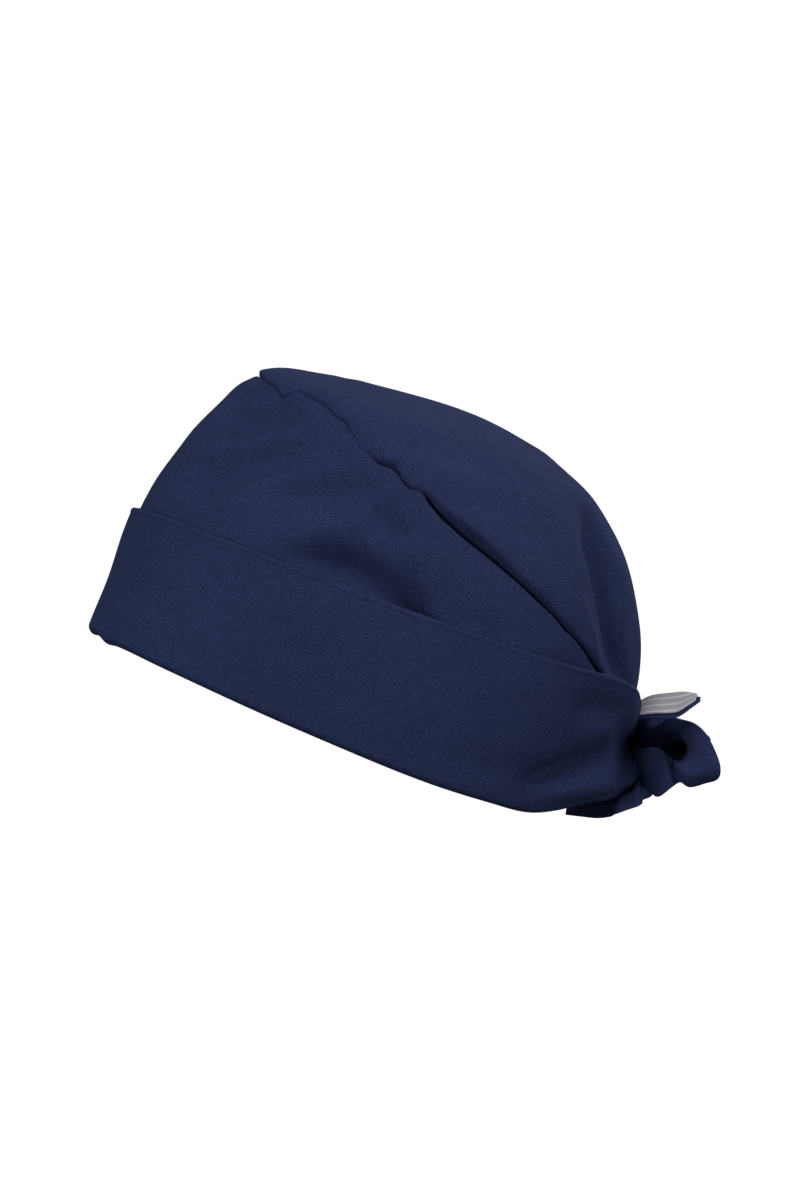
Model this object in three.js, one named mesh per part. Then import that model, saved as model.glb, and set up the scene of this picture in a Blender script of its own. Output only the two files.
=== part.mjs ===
// A tie-back scrub cap of thin woven cloth, held as it sits on an upright head that faces -X.
// Millimetres, +Z up, the wearer's left at -Y. The origin is the middle of the head opening.
// The cap's own frame is tilted about Y, so that the opening drops from the forehead to the nape:
// there +X runs from front to back along the rim and +Z rises square to the rim.
import * as THREE from "three";
import { mergeVertices } from "three/addons/utils/BufferGeometryUtils.js";

// Driving sizes
const CLOTH = 1.2; // wall of one layer of cloth
const RIM_TILT = 21.5; // degrees
const WIDEST = 0.54; // where a section is widest, as a share of its length from the front
const SQUARENESS = 0.05; // how much fuller than an ellipse a section is
const SEAM_GAP = 0.5; // between the side panel and the crown, which meet edge to edge
const HEM_GAP = 0.8; // between the side panel's lower edge and the fold of the cuff below it
const CUFF_RETURN = 10; // height of the cuff's layer inside the cap
const CUFF_END = 172; // degrees of azimuth, where the cuff runs into the knot
const PANEL_END = 152; // degrees of azimuth, under the cuff
const PUFF_REACH = 8; // distance above the seam at which the crown stands out most
const ROW_SPAN = 24; // length of cloth from one section to the next

// Sections of the cap from the rim to the top ridge. Front and back are the ends of the oval,
// half_width is its half breadth, and droop lowers its two ends below its sides.
const SECTIONS = [
  { name: "rim", rise: -8, front: -98, back: 97, half_width: 76.5, droop: 0 },
  { name: "band", rise: 24, front: -97.2, back: 100, half_width: 79, droop: 0 },
  { name: "band_top", rise: 54, front: -98.8, back: 100.8, half_width: 78.5, droop: 0 },
  { name: "temple", rise: 78, front: -94.5, back: 93.8, half_width: 73.5, droop: 0 },
  { name: "shoulder", rise: 100, front: -86.5, back: 79.5, half_width: 63, droop: 0 },
  { name: "haunch", rise: 117, front: -74, back: 60, half_width: 47, droop: 0 },
  { name: "brow", rise: 126, front: -52, back: 42, half_width: 26, droop: 0.5 },
  { name: "ridge", rise: 131.5, front: -25, back: 28, half_width: 0, droop: 2.8 },
];
const RIDGE = SECTIONS.length - 1;
const RIDGE_TURN = 65; // degrees of azimuth either side of the middle that the ridge runs along

// The seam between side panel and crown, on both sides. Azimuth 0 is the front and 180 the back.
// Puff is how far the crown stands out above the seam.
const SEAM = [
  { azimuth: 0, rise: 115.5, puff: 1.4 },
  { azimuth: 30, rise: 114.5, puff: 1.6 },
  { azimuth: 50, rise: 114, puff: 2 },
  { azimuth: 62, rise: 109, puff: 2.4 },
  { azimuth: 73, rise: 102, puff: 3.0 },
  { azimuth: 86, rise: 97, puff: 3.4 },
  { azimuth: 100, rise: 87.5, puff: 4.0 },
  { azimuth: 115, rise: 80.5, puff: 4.0 },
  { azimuth: 129, rise: 72.5, puff: 3.2 },
  { azimuth: 139, rise: 66, puff: 2.6 },
  { azimuth: 150, rise: 57.7, puff: 0.6 },
  { azimuth: 160, rise: 48, puff: 0 },
  { azimuth: 170, rise: 38, puff: 0 },
  { azimuth: 180, rise: 32, puff: 0 },
];

// The turned-up cuff. Bottom and top are its folded edges, stand_off is how far its outer layer
// stands from the side panel and inner where its inside layer lies.
const CUFF = [
  { azimuth: 0, bottom: 2.7, top: 51.3, stand_off: 2.8, inner: -1.9 },
  { azimuth: 25, bottom: 1.6, top: 52.4, stand_off: 2.7, inner: -1.9 },
  { azimuth: 46, bottom: 0.8, top: 52.8, stand_off: 2.6, inner: -1.9 },
  { azimuth: 80, bottom: -2, top: 53, stand_off: 2.6, inner: -1.9 },
  { azimuth: 108, bottom: -2.9, top: 54.3, stand_off: 2.6, inner: -1.9 },
  { azimuth: 126, bottom: -1.4, top: 55.6, stand_off: 2.6, inner: -1.9 },
  { azimuth: 139, bottom: 0.3, top: 57, stand_off: 2.8, inner: -1.9 },
  { azimuth: 148, bottom: 4.4, top: 58, stand_off: 3.2, inner: -1.9 },
  { azimuth: 154, bottom: 8.6, top: 57.8, stand_off: 4, inner: -1.9 },
  { azimuth: 160, bottom: 12.2, top: 56.5, stand_off: 5.4, inner: -1.6 },
  { azimuth: 166, bottom: 15.6, top: 53.6, stand_off: 7.4, inner: 0.9 },
  { azimuth: 172, bottom: 19.6, top: 49.5, stand_off: 8.8, inner: 3.8 },
];

// Soft folds. A side fold lies across the cap's length and its rise and shows on both sides, and
// an end fold lies across its breadth. Lean turns it from upright, depth is negative for a ridge.
const FOLDS = [
  { piece: "side_panel", view: "side", across: -10, rise: 61, lean: 77, run: 27, spread: 7, depth: 3 },
  { piece: "side_panel", view: "side", across: 49, rise: 62, lean: 60, run: 8, spread: 5, depth: 1.4 },
  { piece: "side_panel", view: "side", across: -75, rise: 80, lean: -58, run: 16, spread: 7, depth: 1.2 },
  { piece: "side_panel", view: "front", across: 7, rise: 106, lean: 8, run: 18, spread: 3.5, depth: 1.8 },
  { piece: "crown", view: "side", across: 75, rise: 87, lean: 32, run: 26, spread: 5, depth: 3 },
  { piece: "crown", view: "back", across: 9, rise: 66, lean: 10, run: 22, spread: 4.5, depth: 2 },
  { piece: "crown", view: "side", across: -4, rise: 108, lean: -40, run: 9, spread: 5, depth: 1.6 },
  { piece: "cuff", view: "side", across: 99, rise: 33, lean: -50, run: 12, spread: 4.5, depth: 4.6 },
];

// The knot at the nape, in the cap's own frame: a barrel drawn in at its waist.
const KNOT = { along: 109.5, rise: 39.5, half_breadth: 10.4, depth_share: 0.72 };
const KNOT_PROFILE = [
  { height: -9, radius: 6.4 },
  { height: -6, radius: 9.6 },
  { height: 0, radius: 8.4 },
  { height: 6, radius: 9.6 },
  { height: 9, radius: 6.4 },
];
const KNOT_SIDES = 16;

// Flat ties that come out of the knot, measured from its middle along world axes. Each row is a
// place along the tie, with the tie's two edges there.
const BOW_LOOP_LEFT = [
  { edge_a: [3, -13, 4.6], edge_b: [7.6, -8.6, 5] },
  { edge_a: [9.6, -20, 9.4], edge_b: [11, -7, 4.6] },
  { edge_a: [20, -28, 6.2], edge_b: [17, -6.5, 2] },
  { edge_a: [26.6, -32, -3], edge_b: [19.8, -7, -1.4] },
  { edge_a: [27, -33.4, -13.4], edge_b: [19, -7, -5.4] },
  { edge_a: [17.6, -32, -15.8], edge_b: [15.6, -6.5, -7.4] },
  { edge_a: [7, -28.4, -19.8], edge_b: [12, -7, -7.6] },
  { edge_a: [1, -21, -14.6], edge_b: [9.4, -8.6, -5.6] },
  { edge_a: [0, -14.6, -6], edge_b: [7, -10.6, -2.8] },
];
const BOW_LOOP_RIGHT = [
  { edge_a: [5, 12, 4.6], edge_b: [8.2, 6.4, 4.6] },
  { edge_a: [9.6, 20, 7.8], edge_b: [11, 7, 4.4] },
  { edge_a: [20, 29, 5.6], edge_b: [17, 7, 2] },
  { edge_a: [26, 33, 1.4], edge_b: [20, 7, -1.6] },
  { edge_a: [24, 32.5, -0.6], edge_b: [19, 7, -5.2] },
  { edge_a: [14, 26, 3], edge_b: [13, 7, -8.2] },
  { edge_a: [7.6, 18, -1], edge_b: [8, 8.2, -8.8] },
  { edge_a: [4.4, 13.5, -5.5], edge_b: [6.4, 9.4, -8.6] },
];
const TIE_END_UPPER = [
  { edge_a: [0.4, -10, 9.2], edge_b: [-0.6, 4, 11.8] },
  { edge_a: [8.3, -14, 9.9], edge_b: [4.9, 4, 15.6] },
  { edge_a: [13.4, -16, 11.4], edge_b: [12.3, 4, 17.2] },
  { edge_a: [17.9, -16, 13.4], edge_b: [19.8, 3, 17.6] },
  { edge_a: [21.6, -14, 15], edge_b: [22.6, 2, 16.6] },
];
const TIE_END_LOWER = [
  { edge_a: [1.4, -6, -10.9], edge_b: [-3.4, 5, -9.1] },
  { edge_a: [1.4, -6, -17], edge_b: [-6, 6.5, -13.5] },
  { edge_a: [-2.2, -5.6, -22.4], edge_b: [-10, 9, -17] },
  { edge_a: [-12.3, -3, -27.2], edge_b: [-18, 14, -20] },
  { edge_a: [-29, 3, -26.8], edge_b: [-28, 21, -23.3] },
];

// The woven label on the upper tie end, as shares of the tie's length and breadth.
const LABEL = { wall: 1, gap: 0.3, from: 0.12, to: 0.9, side_a: 0.1, side_b: 0.94 };

const NAVY = new THREE.Color(0.022, 0.036, 0.105);
const LABEL_GREY = new THREE.Color(0.42, 0.41, 0.39);

const degrees = THREE.MathUtils.degToRad;

// A smooth curve through one column of a table, against another column or the row's number.
function smoothColumn(rows, column, against, ending = THREE.ZeroSlopeEnding) {
  const places = rows.map((row, i) => (against ? row[against] : i));
  const curve = new THREE.CubicInterpolant(places, rows.map((row) => row[column]), 1);
  curve.settings = { endingStart: THREE.ZeroCurvatureEnding, endingEnd: ending };
  if (against) curve.settings.endingStart = THREE.ZeroSlopeEnding;
  return (place) => curve.evaluate(place)[0];
}

const section = {
  rise: smoothColumn(SECTIONS, "rise"),
  front: smoothColumn(SECTIONS, "front", null, THREE.ZeroCurvatureEnding),
  back: smoothColumn(SECTIONS, "back", null, THREE.ZeroCurvatureEnding),
  halfWidth: smoothColumn(SECTIONS, "half_width", null, THREE.ZeroCurvatureEnding),
  droop: smoothColumn(SECTIONS, "droop"),
};
const seamRise = smoothColumn(SEAM, "rise", "azimuth");
const seamPuff = smoothColumn(SEAM, "puff", "azimuth");
const cuff = {
  bottom: smoothColumn(CUFF, "bottom", "azimuth"),
  top: smoothColumn(CUFF, "top", "azimuth"),
  standOff: smoothColumn(CUFF, "stand_off", "azimuth"),
  inner: smoothColumn(CUFF, "inner", "azimuth"),
};

// The level, a row number of SECTIONS with a fraction, at which the cap has a given rise.
function levelAt(rise) {
  let low = 0;
  let high = RIDGE;
  while (high - low > 1e-6) {
    const middle = (low + high) / 2;
    if (section.rise(middle) < rise) low = middle;
    else high = middle;
  }
  return low;
}

// A point of the plain dome: an egg-shaped oval at each level, closing to a ridge at the top.
function domePoint(azimuth, level) {
  const front = section.front(level);
  const back = section.back(level);
  const middle = front + (back - front) * WIDEST;
  const cosine = Math.cos(degrees(azimuth));
  const sine = Math.sin(degrees(azimuth));
  const even = THREE.MathUtils.clamp((90 - Math.abs(azimuth)) / RIDGE_TURN, -1, 1);
  const closing = THREE.MathUtils.smoothstep(level, RIDGE - 1, RIDGE);
  const turn = THREE.MathUtils.lerp(cosine * (1 + SQUARENESS * sine * sine), even, closing);
  const reach = turn > 0 ? middle - front : back - middle;
  const breadth = section.halfWidth(level) * sine * (1 + SQUARENESS * cosine * cosine);
  const rise = section.rise(level) - section.droop(level) * turn * turn;
  return new THREE.Vector3(middle - reach * turn, -breadth, rise);
}

// The dome's outward direction at a point.
function domeNormal(azimuth, level) {
  const step = 0.02;
  const low = Math.min(level, RIDGE - 0.1) - step;
  const along = domePoint(azimuth + 1, low).sub(domePoint(azimuth - 1, low));
  const up = domePoint(azimuth, low + 2 * step).sub(domePoint(azimuth, low));
  return along.cross(up).normalize();
}

// How far the folds of one piece move a point of it along its outward direction.
function foldShift(piece, point) {
  let shift = 0;
  for (const fold of FOLDS.filter((row) => row.piece === piece)) {
    const offView = fold.view === "front" ? point.x > 0 : fold.view === "back" && point.x < 0;
    if (offView) continue;
    const across = (fold.view === "side" ? point.x : Math.abs(point.y)) - fold.across;
    const rise = point.z - fold.rise;
    const lean = degrees(fold.lean);
    const along = rise * Math.cos(lean) - across * Math.sin(lean);
    const aside = rise * Math.sin(lean) + across * Math.cos(lean);
    shift -= fold.depth * Math.exp(-((aside / fold.spread) ** 2) - (along / fold.run) ** 2);
  }
  return shift;
}

// A point of a piece: the dome's point moved out by a lift and by the piece's folds, less so at the ridge.
function clothPoint(piece, azimuth, level, lift) {
  const point = domePoint(azimuth, level);
  const share = 1 - THREE.MathUtils.smoothstep(level, RIDGE - 1, RIDGE);
  return point.addScaledVector(domeNormal(azimuth, level), share * (lift + foldShift(piece, point)));
}

// A wall of cloth: the grid of its middle surface, thickened to both sides and closed round its edges.
// A ring joins its last column to its first, and a ridge joins the two sides of its last row.
function clothWall(surface, { columns, rows, wall = CLOTH, ring = false, ridge = false }) {
  const across = ring ? columns : columns + 1;
  const column = (i) => (ring ? (i + columns) % columns : THREE.MathUtils.clamp(i, 0, columns));
  const grid = [];
  for (let j = 0; j <= rows; j++) {
    for (let i = 0; i < across; i++) grid.push(surface(i / columns, j / rows));
  }
  const at = (i, j) => grid[THREE.MathUtils.clamp(j, 0, rows) * across + column(i)];
  const faces = [[], []];
  for (let j = 0; j <= rows; j++) {
    for (let i = 0; i < across; i++) {
      const along = at(i + 1, j).clone().sub(at(i - 1, j));
      const up = at(i, j + 1).clone().sub(at(i, j - 1));
      const out = along.cross(up).normalize();
      if (ridge && j === rows) out.set(0, 0, 1);
      faces[0].push(at(i, j).clone().addScaledVector(out, wall / 2));
      faces[1].push(at(i, j).clone().addScaledVector(out, -wall / 2));
    }
  }
  const index = [];
  const corner = (face, i, j) => face * grid.length + j * across + column(i);
  const quad = (a, b, c, d) => index.push(a, b, c, a, c, d);
  for (let i = 0; i < columns; i++) {
    for (let j = 0; j < rows; j++) {
      quad(corner(0, i, j), corner(0, i + 1, j), corner(0, i + 1, j + 1), corner(0, i, j + 1));
      quad(corner(1, i, j), corner(1, i, j + 1), corner(1, i + 1, j + 1), corner(1, i + 1, j));
    }
    quad(corner(0, i + 1, 0), corner(0, i, 0), corner(1, i, 0), corner(1, i + 1, 0));
    if (ridge) continue;
    quad(corner(0, i, rows), corner(0, i + 1, rows), corner(1, i + 1, rows), corner(1, i, rows));
  }
  for (let j = 0; j < rows && !ring; j++) {
    quad(corner(0, 0, j), corner(0, 0, j + 1), corner(1, 0, j + 1), corner(1, 0, j));
    quad(corner(0, columns, j + 1), corner(0, columns, j), corner(1, columns, j), corner(1, columns, j + 1));
  }
  return closedGeometry([...faces[0], ...faces[1]], index);
}

// A geometry whose equal points are one vertex, without the triangles that this leaves flat.
function closedGeometry(points, index) {
  const loose = new THREE.BufferGeometry().setFromPoints(points).setIndex(index);
  const joined = mergeVertices(loose, 1e-3);
  const kept = [];
  const corners = joined.index.array;
  for (let i = 0; i < corners.length; i += 3) {
    const [a, b, c] = corners.slice(i, i + 3);
    if (a !== b && b !== c && c !== a) kept.push(a, b, c);
  }
  joined.setIndex(kept);
  joined.computeVertexNormals();
  return joined;
}

// The crown: the full panel above the seam, puffed out over it and closed along the top.
function crownGeometry() {
  const surface = (u, v) => {
    const azimuth = 360 * u - 180;
    const turn = Math.abs(azimuth);
    const foot = levelAt(seamRise(turn) + SEAM_GAP / 2);
    const level = THREE.MathUtils.lerp(foot, RIDGE, v ** 1.35);
    const height = ((level - foot) * ROW_SPAN) / PUFF_REACH;
    return clothPoint("crown", azimuth, level, seamPuff(turn) * height * Math.exp(1 - height));
  };
  return clothWall(surface, { columns: 68, rows: 10, ring: true, ridge: true });
}

// The side panel: from the fold of the cuff up to the seam, round the front and both sides.
function sidePanelGeometry() {
  const surface = (u, v) => {
    const azimuth = PANEL_END * (2 * u - 1);
    const turn = Math.abs(azimuth);
    const foot = levelAt(cuff.bottom(turn) + CLOTH + HEM_GAP);
    const head = levelAt(seamRise(turn) - SEAM_GAP / 2);
    return clothPoint("side_panel", azimuth, THREE.MathUtils.lerp(foot, head, v), 0);
  };
  return clothWall(surface, { columns: 56, rows: 8 });
}

// The cuff: an inside layer, the soft fold under the side panel, and the layer turned up outside.
function cuffGeometry() {
  const returnShare = 2 / 16;
  const foldShare = 8 / 16;
  const surface = (u, v) => {
    const azimuth = CUFF_END * (2 * u - 1);
    const turn = Math.abs(azimuth);
    const outer = cuff.standOff(turn);
    const inner = cuff.inner(turn);
    const bend = (outer - inner) / 2;
    const foot = cuff.bottom(turn) + CLOTH / 2 + bend;
    let lift = outer;
    let rise = foot;
    if (v < returnShare) {
      lift = inner;
      rise = foot + CUFF_RETURN * (1 - v / returnShare);
    } else if (v < foldShare) {
      const angle = (Math.PI * (v - returnShare)) / (foldShare - returnShare);
      lift = inner + bend * (1 - Math.cos(angle));
      rise = foot - bend * Math.sin(angle);
    } else {
      rise = THREE.MathUtils.lerp(foot, cuff.top(turn), (v - foldShare) / (1 - foldShare));
    }
    return clothPoint(v < foldShare ? "cuff_fold" : "cuff", azimuth, levelAt(rise), lift);
  };
  return clothWall(surface, { columns: 64, rows: 16 });
}

// The knot: the barrel's profile turned about its upright axis and flattened from front to back.
function knotGeometry() {
  const curve = new THREE.SplineCurve(KNOT_PROFILE.map((row) => new THREE.Vector2(row.radius, row.height)));
  const profile = curve.getPoints(10);
  const lowest = profile[0].y;
  const highest = profile[profile.length - 1].y;
  profile.unshift(new THREE.Vector2(0, lowest));
  profile.push(new THREE.Vector2(0, highest));
  const lathe = new THREE.LatheGeometry(profile, KNOT_SIDES).rotateX(Math.PI / 2);
  const widest = Math.max(...KNOT_PROFILE.map((row) => row.radius));
  const breadthShare = KNOT.half_breadth / widest;
  lathe.scale(breadthShare * KNOT.depth_share, breadthShare, 1);
  lathe.deleteAttribute("normal");
  lathe.deleteAttribute("uv");
  const points = Array.from({ length: lathe.attributes.position.count }, (_, i) =>
    new THREE.Vector3().fromBufferAttribute(lathe.attributes.position, i),
  );
  return closedGeometry(points, [...lathe.index.array]);
}

// The middle surface of a tie: straight across between two smooth edges.
function tieSurface(table) {
  const edge = (name) => new THREE.CatmullRomCurve3(table.map((row) => new THREE.Vector3(...row[name])));
  const edgeA = edge("edge_a");
  const edgeB = edge("edge_b");
  return (u, v) => edgeA.getPoint(u).lerp(edgeB.getPoint(u), v);
}

// The label: a patch of the upper tie end's surface, lifted clear of it.
function labelGeometry() {
  const tie = tieSurface(TIE_END_UPPER);
  const step = 0.01;
  const surface = (u, v) => {
    const along = THREE.MathUtils.lerp(LABEL.from, LABEL.to, u);
    const aside = THREE.MathUtils.lerp(LABEL.side_a, LABEL.side_b, v);
    const ahead = tie(along + step, aside).sub(tie(along - step, aside));
    const over = tie(along, aside + step).sub(tie(along, aside - step));
    const lift = CLOTH / 2 + LABEL.gap + LABEL.wall / 2;
    return tie(along, aside).addScaledVector(ahead.cross(over).normalize(), lift);
  };
  return clothWall(surface, { columns: 9, rows: 3, wall: LABEL.wall });
}

function piece(name, geometry, color, roughness) {
  const mesh = new THREE.Mesh(geometry, new THREE.MeshStandardMaterial({ color, roughness, metalness: 0 }));
  mesh.name = name;
  return mesh;
}

const cloth = (name, geometry) => piece(name, geometry, NAVY, 0.85);

// The shell of the cap and its knot, in the cap's own frame
const shell = new THREE.Group();
shell.rotation.y = degrees(RIM_TILT);
const knot = cloth("knot", knotGeometry());
knot.position.set(KNOT.along, 0, KNOT.rise);
shell.add(cloth("crown", crownGeometry()));
shell.add(cloth("side_panel", sidePanelGeometry()));
shell.add(cloth("cuff", cuffGeometry()));
shell.add(knot);

// The bow, upright at the knot's middle
const bow = new THREE.Group();
bow.position.set(KNOT.along, 0, KNOT.rise).applyAxisAngle(new THREE.Vector3(0, 1, 0), degrees(RIM_TILT));
const loopSize = { columns: 28, rows: 4 };
const endSize = { columns: 12, rows: 4 };
bow.add(cloth("bow_loop_left", clothWall(tieSurface(BOW_LOOP_LEFT), loopSize)));
bow.add(cloth("bow_loop_right", clothWall(tieSurface(BOW_LOOP_RIGHT), loopSize)));
bow.add(cloth("tie_end_upper", clothWall(tieSurface(TIE_END_UPPER), endSize)));
bow.add(cloth("tie_end_lower", clothWall(tieSurface(TIE_END_LOWER), endSize)));
bow.add(piece("label", labelGeometry(), LABEL_GREY, 0.7));

const cap = new THREE.Group();
cap.add(shell, bow);

export default cap;
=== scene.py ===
"""A tie-back scrub cap of navy woven cloth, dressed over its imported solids.

Tables are in millimetres and degrees. The cap's own frame is tilted about Y by the rim's tilt:
there X runs from front to back along the rim and Z rises square to it. Azimuth 0 is the front of
the cap, 90 the side at -Y, and 180 the nape.
"""

import math

import bmesh
import bpy
import numpy as np
from bpy.props import FloatProperty, FloatVectorProperty, IntProperty, PointerProperty
from bpy.types import Operator, Panel, PropertyGroup
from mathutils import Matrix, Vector


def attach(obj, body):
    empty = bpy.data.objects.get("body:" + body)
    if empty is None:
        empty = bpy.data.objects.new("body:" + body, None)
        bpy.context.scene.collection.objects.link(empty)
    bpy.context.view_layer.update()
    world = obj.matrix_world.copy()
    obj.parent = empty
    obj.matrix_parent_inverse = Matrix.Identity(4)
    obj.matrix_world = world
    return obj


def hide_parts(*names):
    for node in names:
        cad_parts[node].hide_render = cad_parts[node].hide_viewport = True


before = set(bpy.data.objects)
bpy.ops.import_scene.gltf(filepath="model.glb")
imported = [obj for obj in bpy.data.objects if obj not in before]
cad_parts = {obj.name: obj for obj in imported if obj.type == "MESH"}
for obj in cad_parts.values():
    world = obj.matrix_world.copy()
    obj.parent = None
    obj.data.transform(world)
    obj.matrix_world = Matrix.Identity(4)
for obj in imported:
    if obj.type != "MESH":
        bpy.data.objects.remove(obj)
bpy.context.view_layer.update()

bl_info = {
    "name": "Scrub cap",
    "version": (1, 0, 0),
    "blender": (4, 5, 0),
    "location": "3D View > Sidebar > Scrub cap",
    "description": "Builds a tie-back scrub cap from cloth surfaces over its packed solids",
    "category": "Object",
}

MM = 0.001
WHITE = (1.0, 1.0, 1.0, 1.0)


def table(columns, *rows):
    """A table as one array for each named column."""
    return dict(zip(columns.split(), np.array(rows, dtype=float).T))


# The oval of the cap at each level, from the rim to the top ridge
SECTIONS = table(
    "rise front back half_width droop",
    (-8, -98, 97, 76.5, 0),
    (24, -98, 100, 79, 0),
    (54, -98.8, 100.8, 78.5, 0),
    (78, -94.5, 93.8, 73.5, 0),
    (100, -86.5, 79.5, 63, 0),
    (117, -74, 60, 47, 0),
    (125.6, -52, 42, 26, 0.5),
    (131.2, -25, 28, 0, 2.8),
)
RIDGE = len(SECTIONS["rise"]) - 1

# How far from the front to the back an oval is widest, how far it fills out at its quarters, and
# the distance that one level counts for near the seam
WIDEST = 0.54
SQUARENESS = 0.05
ROW_SPAN = 24.0

# Steps in level and azimuth that give the dome's outward direction, and their end at the ridge
LEVEL_STEP = 0.02
AZIMUTH_STEP = 1
RIDGE_CLEAR = 0.1

# Azimuths over which the columns turn dense and sparse again, and how much denser they get
DENSE_FROM = (16, 22)
DENSE_TO = (106, 116)
DENSE_EXTRA = 2

# Powers that crowd the rows of the crown and the side panel to the seam, and the cuff's to its top
CROWN_CROWDING = 1.7
PANEL_CROWDING = 1.5
CUFF_CROWDING = 1.6

# How tightly the crown and the side panel roll down into the seam
CROWN_ROLL = 0.32
PANEL_ROLL = 0.45

# How far up the crown the step at the seam fades out
LIP_RUN = 9.0

# Edges turned in at the seam, in shares of the seam allowance. The side panel's then goes up behind
# the crown's, in shares of the seam's gap and a cover beyond it.
CROWN_TURN_IN = (1.0, 0.8, 0.6, 0.45, 0.3, 0.2, 0.1)
PANEL_TURN_IN = (0.1, 0.2, 0.3, 0.45, 0.6, 0.8, 1.0, 1.2, 1.3, 1.3, 1.3)
PANEL_TURN_UP = (0, 0, 0, 0, 0, 0, 0, 0, 0.2, 0.6, 1.0)
SEAM_COVER = 1.6

# The seam between side panel and crown: the rise of the side panel's edge, how far the crown puffs
# out above it, how far above it the puff is greatest, how far the crown's edge stands over the side
# panel, how deep both edges dip, and the gap from the side panel's edge up to the crown's
SEAM = table(
    "azimuth rise puff reach lip dip gap",
    (0, 115.2, 0.3, 7, 1.5, 0.9, 0.5),
    (14, 114.8, 0.3, 7, 1.3, 0.9, 0.5),
    (21.4, 114.1, 0.3, 6, 0.9, 1, 0.5),
    (29.4, 113.3, 0.3, 6, 0.6, 1, 0.5),
    (34.9, 112.1, 0.2, 6, 0.5, 0.9, 0.4),
    (37.6, 111.4, 0.2, 6, 0.3, 0.5, 0.3),
    (38.6, 112.9, 0.2, 6, 0, 0.05, 0.2),
    (39.6, 114.6, 0.2, 6, 0.1, 0.3, 0.3),
    (42.5, 115.1, 0.2, 6, 0.4, 0.8, 0.5),
    (48.75, 114.1, 0.3, 6, 0.6, 1, 0.6),
    (53.4, 113.6, 0.4, 6, 0.6, 1.1, 0.6),
    (58.75, 111.3, 0.6, 6, 0.6, 1.1, 0.6),
    (62.75, 109.9, 0.8, 6, 0.5, 1, 0.6),
    (67, 106, 1, 6, 0.4, 0.7, 0.5),
    (69.5, 103.3, 1, 6, 0.3, 0.5, 0.4),
    (72.75, 102, 1.2, 6, 0.5, 0.8, 0.6),
    (74.5, 100.5, 1.3, 6, 0.7, 1.2, 1.2),
    (76.1, 100.4, 1.4, 6, 0.9, 1.4, 1.4),
    (77.9, 100.6, 1.5, 6, 0.9, 1.4, 1.4),
    (79.75, 99.8, 1.5, 6, 0.9, 1.4, 1.4),
    (81.25, 97.5, 1.4, 6, 0.7, 1.3, 1.2),
    (82.9, 96.1, 1.5, 6, 0.8, 1.3, 1.2),
    (86.2, 96.1, 1.9, 6, 0.5, 0.8, 0.6),
    (88.25, 93.6, 2, 7, 1, 1.7, 2.6),
    (90.4, 91.4, 1.6, 7, 1.5, 2.4, 2.8),
    (94.6, 88.5, 1.6, 8, 1.9, 2.6, 2.9),
    (98.5, 86.1, 1.7, 8, 2.7, 2.6, 3.1),
    (102.5, 84.2, 1.8, 8, 3, 2.6, 3),
    (106.5, 82.1, 2, 8, 2.6, 2.4, 2.7),
    (111, 79.6, 2.4, 8, 1.1, 1.9, 2.7),
    (115.5, 77, 2.2, 8, 1.1, 1.8, 2.4),
    (120.2, 74, 2, 7, 1, 1.8, 2.3),
    (124, 71.9, 1.9, 7, 1, 1.5, 1.9),
    (128.4, 68.4, 1.8, 7, 1, 1.5, 1.9),
    (131.8, 66.7, 1.7, 7, 0.8, 1.2, 1.3),
    (135.2, 64.4, 1.7, 7, 0.9, 1.2, 1.6),
    (138.2, 61.7, 1.6, 6, 1, 1.3, 1.8),
    (142, 58.8, 1.4, 6, 1, 1.3, 1.9),
    (148, 55.3, 0.8, 6, 0.6, 1, 1.4),
    (160, 47, 0, 6, 0, 0.5, 0.5),
    (170, 37.5, 0, 6, 0, 0.5, 0.5),
    (180, 31.5, 0, 6, 0, 0.5, 0.5),
)

# Gathers that run up into the crown from the seam: a height above 0 is a puff, below 0 a crease
GATHERS = table(
    "azimuth width height run",
    (64, 1.4, 0.3, 7),
    (68.6, 0.9, -0.6, 7),
    (72, 1.6, 0.4, 8),
    (77.5, 1.6, 0.7, 5),
    (83.4, 1, -1.4, 7),
    (86.5, 1.6, 0.6, 6),
    (74, 3.5, 0.5, 26),
    (86, 4, -0.6, 28),
    (98, 4, 0.5, 26),
    (112, 2.5, -0.5, 12),
    (121, 2.5, 0.5, 12),
    (134, 2, -0.7, 10),
    (138, 1.6, 0.5, 9),
    (143, 1.5, -0.7, 9),
)

# The distance from the seam over which a gather rises, and how far those at +Y are turned
GATHER_RISE = 2
GATHER_SHIFT = 1.7

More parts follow.
